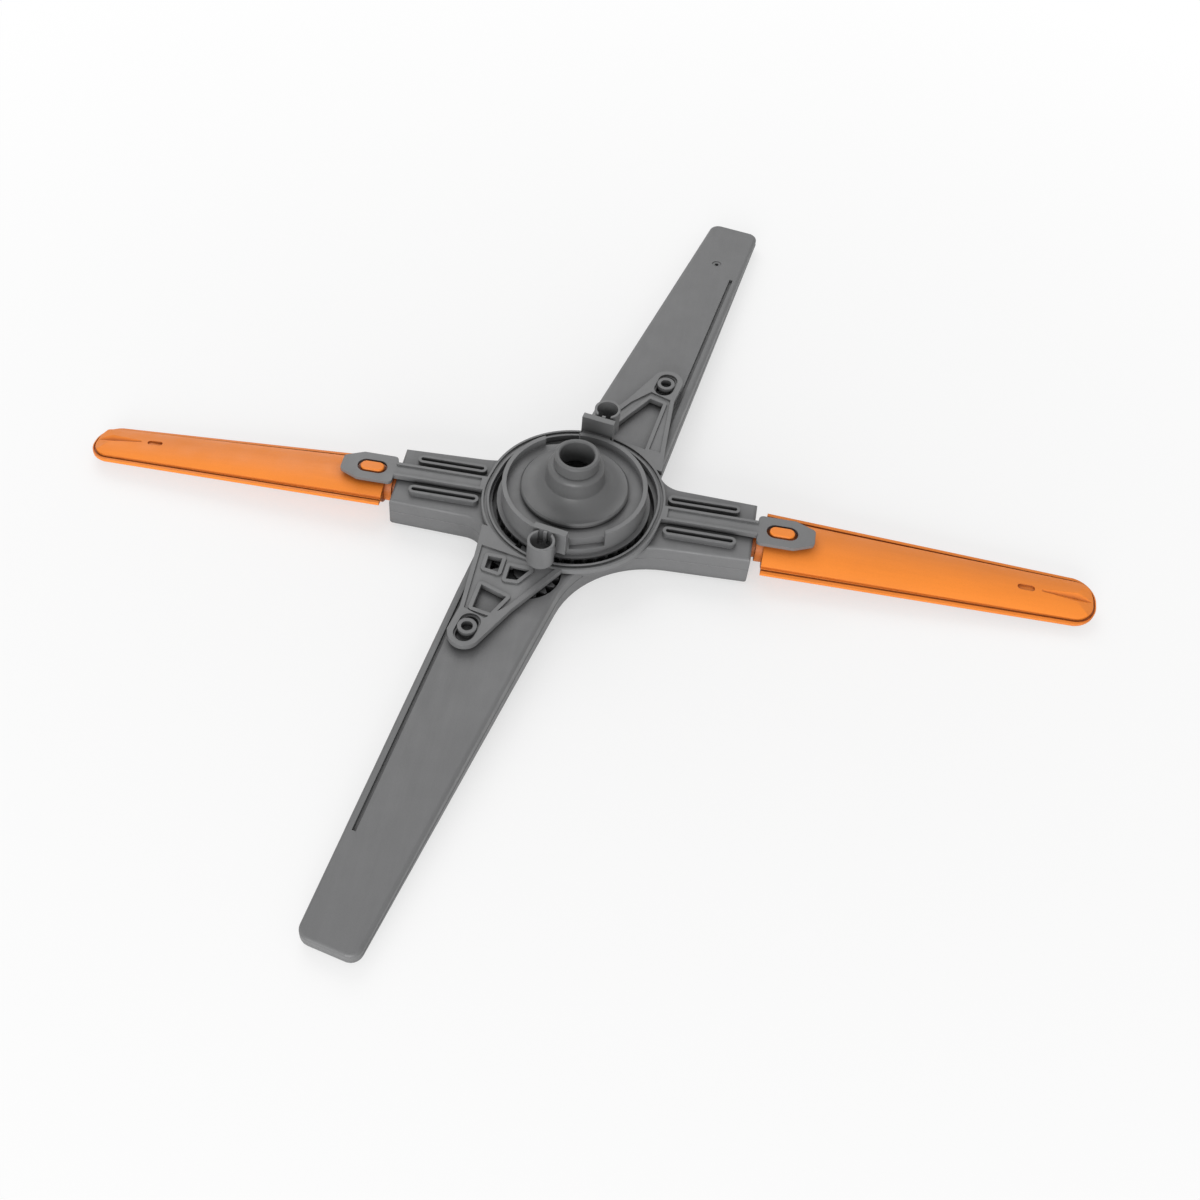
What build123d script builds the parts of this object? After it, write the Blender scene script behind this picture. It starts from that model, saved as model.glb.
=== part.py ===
import os
from math import cos, hypot, pi, radians, sin, tan

from build123d import *

os.makedirs("parts", exist_ok=True)

# A dishwasher spray arm lying upside down: its nozzle side rests on z = 0 and its inlet tube points up.
# The hub turns about the Z axis and the two swinging arms lie along the X axis. Millimetres and degrees.

# Driving sizes of the whole arm
span = 500.0
main_lean = 11.4
wall = 2.0
gap = 0.4

# Main arms: both edges close in towards the tip, the wide edge more than the lean one
reach = span / 2
main_reach = reach + 3.0
far_angle = 90 - main_lean
near_angle = far_angle + 180
main_angles = (far_angle, near_angle)
root_u = 74.0
lean_root = 13.5
lean_tip = 8.3
wide_root = 29.4
wide_tip = 19.3
face_root = 18.8
face_tip = 9.2
seam_root = 11.0
seam_tip = 5.5
tip_round = 5.6
edge_round = 1.6
belly_round = 4.5
groove_in = 4.2
groove_wide = 1.8
groove_deep = 1.4
groove_start = 50.0
groove_end = main_reach - 50.0
drain_u = main_reach - 38.4
drain_w = -5.8
drain_r = 1.1
drain_dish_r = 2.6
drain_dish = 0.5

# Bridges that carry the swinging arms
bridge_angles = (0, 180)
bridge_end = 88.0
bridge_half_in = 21.8
bridge_half_out = 18.3
tight_corner = 12.0
wide_corner = 50.0

# Swing axis and the hollow neck that turns in the bridge end
swing_z = 9.8
swing_angle = 16.0
neck_r = 6.0
neck_bore_r = 4.2
neck_fit = 0.3
neck_collar_r = 7.2
neck_collar_t = 2.0
neck_start = bridge_end - 8.0
neck_flare = 1.8
flare_start = bridge_end + 2.0
barrel_r = 8.8
barrel_start = neck_start - 2.0

# Gears
module = 1.7
fixed_teeth = 42
crank_teeth = 17
backlash = 0.7
fixed_pitch_r = module * fixed_teeth / 2
crank_pitch_r = module * crank_teeth / 2
fixed_tip_r = fixed_pitch_r + 0.9 * module
crank_tip_r = crank_pitch_r + 0.9 * module
gear_in_r = fixed_pitch_r - 1.25 * module - 2.2
gear_brim = 1.2
open_r = fixed_tip_r + 2.6
link_ring = 3.8
crank_lean = 5.1
crank_u = fixed_pitch_r + crank_pitch_r
crank_at = near_angle - crank_lean

# Heights of the drive, from the nozzle side up
recess_floor = face_root - 5.6
gear_low = recess_floor + 0.6
crank_top = gear_low + 4.8
teeth_top = crank_top + 0.6
link_low = face_root + 0.8
link_web = 1.8
link_rim = 2.8
link_top = link_low + link_rim
lug_low = link_top + 4.6
ring_top = face_root + 13.4
lug_top = ring_top + 7.8
plate_top = ring_top - 4.2
plate_t = 2.4
boss_top = ring_top - 3.0
tube_top = boss_top + 23.0

# Hub
boss_r = 22.0
boss_bore_r = 17.0
tube_r = 10.8
inlet_r = 8.3
tube_edge = 0.8
inlet_edge = 0.5
flange_r = 26.2
flange_t = 1.4
flange_edge = 0.8
bell_foot_r = 14.4
bell_sweep = 4.0
bell_foot_rise = 7.0
bell_r = 13.7
bell_rise = 14.0
throat_rise = 16.6
throat_round = (2.1, 1.8)
bore_rise = 10.2
ring_r = 35.0
ring_t = 2.2
collar_t = 2.0
recess_r = open_r - 0.4
cup_wall = 1.4
brim_r = open_r + link_ring + 0.8
pocket_r = crank_tip_r + 0.8
port_u = 10.0
port_r = 4.2
axle_r = 3.2
axle_fit = 0.06
notch_low = link_top + 1.6
notch_angle = 290.0
notch_wide = 17.0
notch_deep = 7.0

# Fastening lugs of the fixed gear
lug_turn = 1.4
lug_angles = (far_angle + lug_turn, near_angle + lug_turn)
lug_in = ring_r + 2.0
lug_hole_u = lug_in + 9.8
lug_hole_r = 5.2
lug_r = lug_hole_r + 1.2
lug_back_t = 3.2
lug_back_left = 9.8
lug_back_right = -6.4
lug_foot_half = 5.4
lug_foot_t = 5.0
lug_mouth = 6.4
lug_rib_t = 1.8
lug_step = 1.2

# Flow disc
disc_low = recess_floor + 0.6
disc_t = 2.4
disc_r = boss_bore_r - 2 * gap
disc_rim = 1.8
disc_hub_r = 4.0
disc_tooth = (3.2, 1.6)
disc_top = disc_low + 2 * disc_t + disc_tooth[1]
skirt_low = disc_top + 2.0

# Link travel that swings the arms by swing_angle each way
pin_mid = link_low + link_web / 2
travel = (pin_mid - swing_z) * sin(radians(swing_angle)) / cos(radians(main_lean))
crank_pin_r = 2.25
crank_pin_t = 1.8
crank_pin_boss = 1.2
crank_dish = 1.6
crank_rim = 3.6
crank_boss = 2.4
crank_roof = 1.0

# Link frame
link_edge = 1.1
bar_half = 4.4
bar_rim = 1.4
bar_start = 46.0
tab_start = bridge_end + 1.3
tab_half = 8.8
tab_end_half = 4.6
tab_round = 2.2
guide_u = 94.0
guide_w = -15.0
guide_r = 3.6
guide_foot = 2.4
guide_pad = 1.6
guide_head_r = 4.5
guide_pit_r = 2.7
guide_pit = 3.6
guide_head_t = 1.8
guide_end_r = 7.8
truss = ((34, -33.6), (50, -29.9), (84, -23), (98.6, -23), (98.6, -7.4), (76, -0.6), (46, 11.4), (34, 13.4))
truss_sink = 0.9
truss_floor = ((46, -28.4), (84, -20.9), (86, -9.9), (75, -3), (46, 8.6))
window_rim = 1.9
near_windows = (
    ((51, -22.9), (50, -16.3), (58.4, -15.1), (58.4, -21.7)),
    ((52.6, -11.3), (51.4, -1.9), (59.4, -5.1), (60.6, -10.1)),
    ((68.4, -19), (70.6, -5.7), (82.2, -8.7), (82.2, -17.5)),
)
far_windows = (((45, -20.8), (46.4, 1.8), (64, -4.4), (81, -11.1), (80, -18.4)),)

# Rails that guide the bars of the link on the bridges
rail_in = bar_half + travel + gap
rail_out = rail_in + 5.2
rail_wall = 1.5
rail_start = open_r + link_ring + travel * sin(radians(main_lean)) + 2 * gap
rail_end = bridge_end - 8.0
rail_top = face_root + 2.6

# Swinging arms: a trough with a rim all round and a crown welded on it, heights counted from the swing axis
blade_in = bridge_end + 5.6
blade_pitch = 6.6
blade_wall = 1.8
blade_half_in = 17.9
blade_half_tip = 12.7
blade_tip_round = 12.2
rim_lip_in = 3.6
rim_lip_tip = 2.4
rim_t = 1.6
rim_in = 2.7
rim_tip = -3.3
rim_end = 1.6
rim_groove = 1.0
rim_groove_deep = 0.8
crown_foot = 1.0
crown_in = 7.8
crown_tip = 0.4
keel_in = -6.6
keel_tip = -7.4
nose_long = 15.0
nose_lift = 0.3
blade_end = reach - rim_end
slot_start = reach - 26.0
slot_half_in = 1.8
slot_half_tip = 7.0
slot_sink = 0.5
dimple_x = slot_start - 7.4
dimple = (8.0, 3.0)
dimple_deep = 1.1

# Drive pins of the swinging arms
pin_x = blade_in + 7.4
pin_long = 12.0
pin_wide = 6.0
pin_top = link_low + link_web + 0.6
pin_round = 0.8
pin_play = (3.0, 2.4)
tab_end = pin_x + 15.5

# Nozzles, given as shares of the way from root to tip, and the cap and ribs of the nozzle side
nozzle_r = 1.5
body_nozzles = ((0.03, -8), (0.17, -5), (0.32, -9), (0.48, -4), (0.64, -7), (0.78, -3), (0.91, -6))
blade_nozzles = (0.12, 0.28, 0.46, 0.64, 0.82, 0.93)
cap_r = 24.0
cap_t = 2.0
cap_edge = 0.8
cap_fit = 0.1
cap_leg_u = 14.0
cap_leg_t = 1.8
cap_leg_wide = 6.0
cap_leg_long = wall + 1.2
rib_start = 16.0
rib_t = 1.6
ribs = ((-61.5, 16.0), (118.5, 16.0), (30.0, 20.0), (210.0, 20.0))


def spot(angle, u, w):
    """Place at the distance u along an arm and w to its left, seen from above."""
    c = cos(radians(angle))
    s = sin(radians(angle))
    return (u * c - w * s, u * s + w * c)


def radial_plane(angle, u):
    """Upright plane across an arm at the distance u from the hub, its second axis pointing up."""
    c = cos(radians(angle))
    s = sin(radians(angle))
    return Plane(origin=(u * c, u * s, 0), x_dir=(-s, c, 0), z_dir=(c, s, 0))


def blade_plane(angle, x):
    """Plane across a swinging arm at the distance x, centred on the swing axis and turned by the blade pitch."""
    c = cos(radians(angle))
    s = sin(radians(angle))
    level = cos(radians(blade_pitch))
    rise = sin(radians(blade_pitch))
    return Plane(origin=(x * c, x * s, swing_z), x_dir=(-s * level, c * level, rise), z_dir=(c, s, 0))


def blade_floor(angle):
    """Pitched plane through the swing axis, its first axis along the arm and its second one across it."""
    c = cos(radians(angle))
    s = sin(radians(angle))
    level = cos(radians(blade_pitch))
    rise = sin(radians(blade_pitch))
    return Plane(origin=(0, 0, swing_z), x_dir=(c, s, 0), z_dir=(s * rise, -c * rise, level))


def blade_side(angle):
    """Plane along a swinging arm through the swing axis, its second axis pointing out of the crown."""
    c = cos(radians(angle))
    s = sin(radians(angle))
    level = cos(radians(blade_pitch))
    rise = sin(radians(blade_pitch))
    return Plane(origin=(0, 0, swing_z), x_dir=(c, s, 0), z_dir=(s * level, -c * level, -rise))


def between(u, at_root, at_tip):
    """Value on the straight line from the root of a main arm to its tip."""
    return at_root + (at_tip - at_root) * (u - root_u) / (main_reach - root_u)


def along_blade(x, at_root, at_tip):
    """Value on the straight line from the root of a swinging arm to its tip."""
    return at_root + (at_tip - at_root) * (x - blade_in) / (reach - blade_in)


def face_at(u):
    """Height of the underside face of a main arm."""
    return min(face_root, between(u, face_root, face_tip))


def on_rim(edge):
    """True for an edge along the outer border of the underside face."""
    places = [edge.position_at(t) for t in (0, 0.5, 1)]
    u = [abs(p.X * cos(radians(far_angle)) + p.Y * sin(radians(far_angle))) for p in places]
    crease = all(abs(d - root_u) < 0.01 for d in u)
    return not crease and all(p.Z > face_at(d) - 0.01 for p, d in zip(places, u))


def gear_points(teeth, tip_r, phase):
    """Points of a gear with straight flanks, its first tooth centred on the angle phase."""
    pitch_r = module * teeth / 2
    root_r = pitch_r - 1.25 * module
    thick = pi * module / 2 - backlash / 2
    slope = tan(radians(20))
    root_half = (thick / 2 + (pitch_r - root_r) * slope) / root_r
    tip_half = (thick / 2 - (tip_r - pitch_r) * slope) / tip_r
    points = []
    for tooth in range(teeth):
        middle = radians(phase) + 2 * pi * tooth / teeth
        for radius, turn in ((root_r, -root_half), (tip_r, -tip_half), (tip_r, tip_half), (root_r, root_half)):
            points.append((radius * cos(middle + turn), radius * sin(middle + turn)))
    return points


def arm_plan(angle, start, end, inset):
    """Draw the plan of a main arm between two distances from the hub, drawn in by inset at its edges."""
    Polygon(
        spot(angle, start, between(start, lean_root, lean_tip) - inset),
        spot(angle, end, between(end, lean_root, lean_tip) - inset),
        spot(angle, end, inset - between(end, wide_root, wide_tip)),
        spot(angle, start, inset - between(start, wide_root, wide_tip)),
        align=None,
    )


def hub_plan(plan, inset):
    """Draw the hub with the arm roots and the bridges in the sketch plan, its four inner corners rounded."""
    for angle in main_angles:
        arm_plan(angle, 0, root_u, inset)
    for angle in bridge_angles:
        Polygon(
            spot(angle, 0, -bridge_half_in + inset),
            spot(angle, bridge_end - inset, -bridge_half_out + inset),
            spot(angle, bridge_end - inset, bridge_half_out - inset),
            spot(angle, 0, bridge_half_in - inset),
            align=None,
        )
    for radius in (wide_corner, tight_corner):
        inner = sorted(plan.vertices(), key=lambda v: hypot(v.X, v.Y))
        fillet(inner[:2], radius + inset)


def body_blank(inset, low, high_root, high_tip):
    """Upright body of hub, main arms and bridges from low up to a sloping top, drawn in by inset all round."""
    low_root, low_tip = low
    with BuildPart() as blank:
        for angle in main_angles:
            for u, lean, wide, bottom, top in (
                (root_u, lean_root, wide_root, low_root, high_root),
                (main_reach - inset, lean_tip, wide_tip, low_tip, high_tip),
            ):
                left = inset - wide
                right = lean - inset
                with BuildSketch(radial_plane(angle, u)):
                    Polygon((left, bottom), (right, bottom), (right, top), (left, top), align=None)
            loft(ruled=True)
        with BuildSketch(Plane.XY.offset(low_tip)) as tips:
            for angle in main_angles:
                Polygon(
                    spot(angle, root_u - 1, -wide_root - 0.1),
                    spot(angle, main_reach - inset, inset - wide_tip),
                    spot(angle, main_reach - inset, lean_tip - inset),
                    spot(angle, root_u - 1, lean_root + 0.1),
                    align=None,
                )
            outer = sorted(tips.vertices(), key=lambda v: -hypot(v.X, v.Y))
            fillet(outer[:4], tip_round - inset)
        extrude(amount=high_root - low_tip, mode=Mode.INTERSECT)
        with BuildSketch(Plane.XY.offset(low_root)) as plan:
            hub_plan(plan, inset)
        extrude(amount=high_root - low_root)
    return blank.part


def bridge_barrel(angle, keep):
    """Barrel of a bridge end, its half above the seam (keep 1) or below it (keep -1)."""
    with BuildPart() as barrel:
        with BuildSketch(radial_plane(angle, barrel_start)):
            with Locations((0, swing_z)):
                Circle(barrel_r)
            with Locations((0, seam_root - keep * barrel_r)):
                Rectangle(3 * barrel_r, 2 * barrel_r, mode=Mode.SUBTRACT)
        extrude(amount=bridge_end - barrel_start)
    return barrel.part


def neck_room(angle):
    """Room in a bridge end for the neck of a swinging arm and its collar."""
    with BuildPart() as room:
        for start, end, radius in (
            (barrel_start - 1, bridge_end + 1, neck_r + neck_fit),
            (neck_start - gap, neck_start + neck_collar_t + gap, neck_collar_r + gap),
        ):
            with BuildSketch(radial_plane(angle, start)):
                with Locations((0, swing_z)):
                    Circle(radius)
            extrude(amount=end - start)
    return room.part


def tip_block(angle, end, root_half, tip_half, radius):
    """Tall block over the plan of a swinging arm, its tip corners rounded."""
    with BuildPart() as block:
        with BuildSketch(blade_floor(angle)) as plan:
            Polygon(
                (blade_in - 1, -root_half - 1),
                (end, -tip_half),
                (end, tip_half),
                (blade_in - 1, root_half + 1),
                align=None,
            )
            fillet(plan.vertices().sort_by(Axis.X)[-2:], radius)
        extrude(amount=2 * barrel_r, both=True)
    return block.part


def blade_blank(angle, inset, side):
    """Crown (side 1) or trough (side -1) of a swinging arm, drawn in by inset."""
    peak_in, peak_tip = (crown_in, crown_tip) if side == 1 else (keel_in, keel_tip)
    crown_half_in = blade_half_in - rim_lip_in - inset
    crown_half_tip = blade_half_tip - rim_lip_tip - inset
    end = blade_end - inset
    with BuildPart() as blank:
        for x in (blade_in + inset, end):
            half = along_blade(x, crown_half_in, crown_half_tip)
            seam = along_blade(x, rim_in, rim_tip)
            shoulder = seam + side * crown_foot
            peak = along_blade(x, peak_in, peak_tip) - side * inset
            edges = [
                Edge.make_line((-half, seam), (half, seam)),
                Edge.make_line((half, seam), (half, shoulder)),
                Edge.make_three_point_arc((half, shoulder), (0, peak), (-half, shoulder)),
                Edge.make_line((-half, shoulder), (-half, seam)),
            ]
            with BuildSketch(blade_plane(angle, x)):
                make_face(edges)
        loft(ruled=True)
        add(tip_block(angle, end, crown_half_in, crown_half_tip, crown_half_tip - 1), mode=Mode.INTERSECT)
        if side == 1:
            nose = reach - nose_long
            back = (blade_in - 1, along_blade(blade_in - 1, crown_in, crown_tip) - inset + nose_lift)
            brow = (nose, along_blade(nose, crown_in, crown_tip) - inset + nose_lift)
            chin = (end, rim_tip + max(crown_foot - inset, 0.1))
            floor = 2 * rim_tip
            outline = [
                Edge.make_line((blade_in - 1, floor), (end, floor)),
                Edge.make_line((end, floor), chin),
                Edge.make_tangent_arc(brow, (brow[0] - back[0], brow[1] - back[1]), chin),
                Edge.make_line(brow, back),
                Edge.make_line(back, (blade_in - 1, floor)),
            ]
            with BuildSketch(blade_side(angle)):
                make_face(outline)
            extrude(amount=blade_half_in, both=True, mode=Mode.INTERSECT)
    return blank.part


def foot_groove(angle):
    """Groove in the rim of a swinging arm, along the foot of the crown."""
    with BuildPart() as groove:
        for x in (blade_in - 1, reach + 1):
            half = along_blade(x, blade_half_in, blade_half_tip)
            seam = along_blade(x, rim_in, rim_tip)
            with BuildSketch(blade_plane(angle, x)):
                Polygon(
                    (-half, seam - rim_groove_deep),
                    (half, seam - rim_groove_deep),
                    (half, seam + 1),
                    (-half, seam + 1),
                    align=None,
                )
        loft(ruled=True)
        for wider, mode in ((rim_groove, Mode.INTERSECT), (0, Mode.SUBTRACT)):
            half_in = blade_half_in - rim_lip_in + wider
            half_tip = blade_half_tip - rim_lip_tip + wider
            add(tip_block(angle, blade_end + wider, half_in, half_tip, half_tip - 1), mode=mode)
    return groove.part


def rim_blank(angle):
    """Flat rim around the trough of a swinging arm, grooved along the foot of the crown."""
    with BuildPart() as blank:
        for x in (blade_in, reach):
            half = along_blade(x, blade_half_in, blade_half_tip)
            seam = along_blade(x, rim_in, rim_tip)
            with BuildSketch(blade_plane(angle, x)):
                Polygon((-half, seam - rim_t), (half, seam - rim_t), (half, seam), (-half, seam), align=None)
        loft(ruled=True)
        add(tip_block(angle, reach, blade_half_in, blade_half_tip, blade_tip_round), mode=Mode.INTERSECT)
        add(foot_groove(angle), mode=Mode.SUBTRACT)
    return blank.part


def blade_back(angle):
    """Crown of a swinging arm with its drive pin, the dimple and the groove at its tip."""
    with BuildPart() as half:
        add(blade_blank(angle, 0, 1))
        add(blade_blank(angle, blade_wall, 1), mode=Mode.SUBTRACT)
        pin_low = swing_z + along_blade(pin_x, crown_in, crown_tip) - blade_wall
        with BuildSketch(Plane.XY.offset(pin_low)):
            with Locations(spot(angle, pin_x, 0)):
                SlotOverall(pin_long, pin_wide)
        extrude(amount=pin_top - pin_low)
        fillet(half.edges().group_by(Axis.Z)[-1], pin_round)
        with BuildSketch(radial_plane(angle, blade_in - 1)):
            with Locations((0, swing_z)):
                Circle(neck_r)
        extrude(amount=blade_wall + 2, mode=Mode.SUBTRACT)
        high = along_blade(slot_start, crown_in, crown_tip)
        for x, wide, low in (
            (slot_start, slot_half_in, high - slot_sink),
            (reach, slot_half_tip, rim_tip + crown_foot),
        ):
            with BuildSketch(blade_plane(angle, x)):
                Polygon((-wide, high + 1), (0, low), (wide, high + 1), align=None)
        loft(ruled=True, mode=Mode.SUBTRACT)
        with BuildSketch(blade_floor(angle).offset(along_blade(dimple_x, crown_in, crown_tip) - dimple_deep)):
            with Locations((dimple_x, 0)):
                SlotOverall(*dimple)
        extrude(amount=2 * dimple_deep, mode=Mode.SUBTRACT)
    return half.part


def blade_front(angle):
    """Trough of a swinging arm with its rim, its nozzles and the hollow neck that turns in the bridge end."""
    with BuildPart() as half:
        add(blade_blank(angle, 0, -1))
        add(rim_blank(angle))
        add(blade_blank(angle, blade_wall, -1), mode=Mode.SUBTRACT)
        for start, end, radius in (
            (neck_start, blade_in + blade_wall, neck_r),
            (neck_start, neck_start + neck_collar_t, neck_collar_r),
            (flare_start, blade_in, neck_r + neck_flare),
        ):
            with BuildSketch(radial_plane(angle, start)):
                with Locations((0, swing_z)):
                    Circle(radius)
            extrude(amount=end - start)
        with BuildSketch(radial_plane(angle, neck_start - 1)):
            with Locations((0, swing_z)):
                Circle(neck_bore_r)
        extrude(amount=blade_in + 2 * blade_wall - neck_start + 1, mode=Mode.SUBTRACT)
        with BuildSketch(Plane.XY):
            for share in blade_nozzles:
                with Locations(spot(angle, blade_in + share * (reach - blade_in), 0)):
                    Circle(nozzle_r)
        extrude(amount=swing_z + keel_in + 1.5 * blade_wall, mode=Mode.SUBTRACT)
    return half.part


# Underside shell of the body: arms, bridges, gear recess, hub boss, axle, guide posts and rails
with BuildPart() as arm_lower_shell:
    add(body_blank(0, (seam_root, seam_tip), face_root, face_tip))
    fillet([e for e in arm_lower_shell.edges() if on_rim(e)], edge_round)
    add(body_blank(wall, (seam_root, seam_tip), face_root - wall, face_tip - wall), mode=Mode.SUBTRACT)
    with BuildSketch(Plane.XY.offset(recess_floor - wall)):
        Circle(recess_r + cup_wall)
        with Locations(spot(crank_at, crank_u, 0)):
            Circle(pocket_r + cup_wall)
    extrude(amount=face_root - recess_floor + wall)
    with BuildSketch(Plane.XY.offset(face_root - wall)):
        Circle(brim_r)
    extrude(amount=wall)
    with BuildSketch(Plane.XY.offset(recess_floor)):
        Circle(recess_r)
        with Locations(spot(crank_at, crank_u, 0)):
            Circle(pocket_r)
    extrude(amount=face_root, mode=Mode.SUBTRACT)
    with BuildSketch(Plane.XY.offset(recess_floor - wall)):
        Circle(boss_r)
        Circle(boss_bore_r, mode=Mode.SUBTRACT)
    extrude(amount=boss_top - recess_floor + wall)
    with BuildSketch(Plane.XY.offset(recess_floor - wall)):
        with PolarLocations(port_u, 4, start_angle=45):
            Circle(port_r)
    extrude(amount=2 * wall, mode=Mode.SUBTRACT)
    with BuildSketch(Plane.XY.offset(recess_floor - wall)):
        with Locations(spot(crank_at, crank_u, 0)):
            Circle(axle_r)
    extrude(amount=crank_top - crank_dish - recess_floor + wall)
    for angle in main_angles:
        guide_low = face_at(guide_u) - wall
        for start, radius, height in (
            (guide_low, guide_r + guide_foot, link_low - gap - guide_low),
            (guide_low, guide_r, link_low + guide_pad + 2 * gap - guide_low),
        ):
            with BuildSketch(Plane.XY.offset(start)):
                with Locations(spot(angle, guide_u, guide_w)):
                    Circle(radius)
            extrude(amount=height)
        guide_top = link_low + guide_pad + gap + guide_head_t
        for start, radius, height, mode in (
            (guide_top - guide_head_t, guide_head_r, guide_head_t, Mode.ADD),
            (guide_top - guide_pit, guide_pit_r, guide_pit + 1, Mode.SUBTRACT),
        ):
            with BuildSketch(Plane.XY.offset(start)):
                with Locations(spot(angle, guide_u, guide_w)):
                    Circle(radius)
            extrude(amount=height, mode=mode)
        for first, last in ((groove_start, root_u), (root_u, groove_end)):
            for u in (first, last):
                with BuildSketch(radial_plane(angle, u)):
                    with Locations((groove_in - between(u, wide_root, wide_tip), face_at(u))):
                        Rectangle(groove_wide, 2 * groove_deep)
            loft(ruled=True, mode=Mode.SUBTRACT)
    for angle in bridge_angles:
        with BuildSketch(Plane.XY.offset(face_root - wall)):
            for side in (1, -1):
                with Locations(spot(angle, (rail_start + rail_end) / 2, side * (rail_in + rail_out) / 2)):
                    SlotOverall(rail_end - rail_start, rail_out - rail_in)
                    SlotOverall(
                        rail_end - rail_start - 2 * rail_wall,
                        rail_out - rail_in - 2 * rail_wall,
                        mode=Mode.SUBTRACT,
                    )
        extrude(amount=rail_top - face_root + wall)
        add(bridge_barrel(angle, 1))
        add(neck_room(angle), mode=Mode.SUBTRACT)
    for radius, low in ((drain_r, face_tip - 2 * wall), (drain_dish_r, face_at(drain_u) - drain_dish)):
        with BuildSketch(Plane.XY.offset(low)):
            with Locations(spot(far_angle, drain_u, drain_w)):
                Circle(radius)
        extrude(amount=face_root, mode=Mode.SUBTRACT)
arm_lower_shell.part.label = "arm_lower_shell"
export_step(arm_lower_shell.part, "parts/arm_lower_shell.step")

# Nozzle shell of the body: it lies on the table and holds the nozzles, the flow ribs and the cap seat
with BuildPart() as arm_nozzle_shell:
    for inset, mode in ((0, Mode.ADD), (wall, Mode.SUBTRACT)):
        with BuildPart(mode=Mode.PRIVATE) as belly:
            add(body_blank(inset, (inset, inset), seam_root, seam_tip))
            fillet(belly.edges().group_by(Axis.Z)[0], belly_round - inset)
        add(belly.part, mode=mode)
    with BuildSketch(Plane.XY):
        Circle(cap_r + wall)
    extrude(amount=cap_t + wall)
    with BuildSketch(Plane.XY):
        Circle(cap_r + cap_fit)
    extrude(amount=cap_t, mode=Mode.SUBTRACT)
    with BuildSketch(Plane.XY):
        with PolarLocations(cap_leg_u, 3):
            Rectangle(cap_leg_t + 2 * cap_fit, cap_leg_wide + 2 * cap_fit)
    extrude(amount=seam_root, mode=Mode.SUBTRACT)
    with BuildSketch(Plane.XY.offset(wall)):
        for angle, length in ribs:
            with Locations(spot(angle, rib_start + length / 2, 0)):
                Rectangle(length, rib_t, rotation=angle)
    extrude(amount=seam_root - wall)
    for angle in bridge_angles:
        add(bridge_barrel(angle, -1))
        add(neck_room(angle), mode=Mode.SUBTRACT)
    with BuildSketch(Plane.XY):
        for angle in main_angles:
            for share, w in body_nozzles:
                with Locations(spot(angle, root_u + share * (main_reach - root_u), w)):
                    Circle(nozzle_r)
    extrude(amount=2 * wall, mode=Mode.SUBTRACT)
arm_nozzle_shell.part.label = "arm_nozzle_shell"
export_step(arm_nozzle_shell.part, "parts/arm_nozzle_shell.step")

# Cap that closes the middle of the nozzle side
with BuildPart() as centre_cap:
    with BuildSketch(Plane.XY):
        Circle(cap_r)
    extrude(amount=cap_t)
    fillet(centre_cap.edges().group_by(Axis.Z)[0], cap_edge)
    with BuildSketch(Plane.XY.offset(cap_t)):
        with PolarLocations(cap_leg_u, 3):
            Rectangle(cap_leg_t, cap_leg_wide)
    extrude(amount=cap_leg_long)
centre_cap.part.label = "centre_cap"
export_step(centre_cap.part, "parts/centre_cap.step")

# Inlet hub: tube, bell, flange and the skirt inside the boss
with BuildPart() as inlet_hub:
    skirt_r = boss_bore_r - gap
    with BuildSketch(Plane.XZ):
        with BuildLine():
            Polyline(
                (skirt_r - wall, boss_top + wall),
                (skirt_r - wall, skirt_low),
                (skirt_r, skirt_low),
                (skirt_r, boss_top),
                (flange_r, boss_top),
                (flange_r, boss_top + flange_t),
                (flange_r - flange_edge, boss_top + flange_t + flange_edge),
            )
            ThreePointArc(
                (flange_r - flange_edge, boss_top + flange_t + flange_edge),
                (bell_foot_r + bell_sweep, boss_top + bell_foot_rise / 2),
                (bell_foot_r, boss_top + bell_foot_rise),
            )
            Line((bell_foot_r, boss_top + bell_foot_rise), (bell_r, boss_top + bell_rise))
            ThreePointArc(
                (bell_r, boss_top + bell_rise),
                (tube_r + throat_round[0], boss_top + bell_rise + throat_round[1]),
                (tube_r, boss_top + throat_rise),
            )
            Polyline(
                (tube_r, boss_top + throat_rise),
                (tube_r, tube_top - tube_edge),
                (tube_r - tube_edge, tube_top),
                (inlet_r + inlet_edge, tube_top),
                (inlet_r, tube_top - inlet_edge),
                (inlet_r, boss_top + bore_rise),
                (skirt_r - wall, boss_top + wall),
            )
        make_face()
    revolve(axis=Axis.Z)
inlet_hub.part.label = "inlet_hub"
export_step(inlet_hub.part, "parts/inlet_hub.step")

# Flow disc inside the hub that opens one pair of ports at a time
with BuildPart() as flow_disc:
    with BuildSketch(Plane.XY.offset(disc_low)):
        Circle(disc_r)
        with PolarLocations(port_u, 2, start_angle=45):
            Circle(port_r, mode=Mode.SUBTRACT)
    extrude(amount=disc_t)
    with BuildSketch(Plane.XY.offset(disc_low + disc_t)):
        Circle(disc_r)
        Circle(disc_r - disc_rim, mode=Mode.SUBTRACT)
        Circle(disc_hub_r)
    extrude(amount=disc_t)
    with BuildSketch(Plane.XY.offset(disc_low + 2 * disc_t)):
        with PolarLocations(disc_r - disc_rim / 2, 8):
            Rectangle(disc_rim, disc_tooth[0])
    extrude(amount=disc_tooth[1])
flow_disc.part.label = "flow_disc"
export_step(flow_disc.part, "parts/flow_disc.step")

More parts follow.
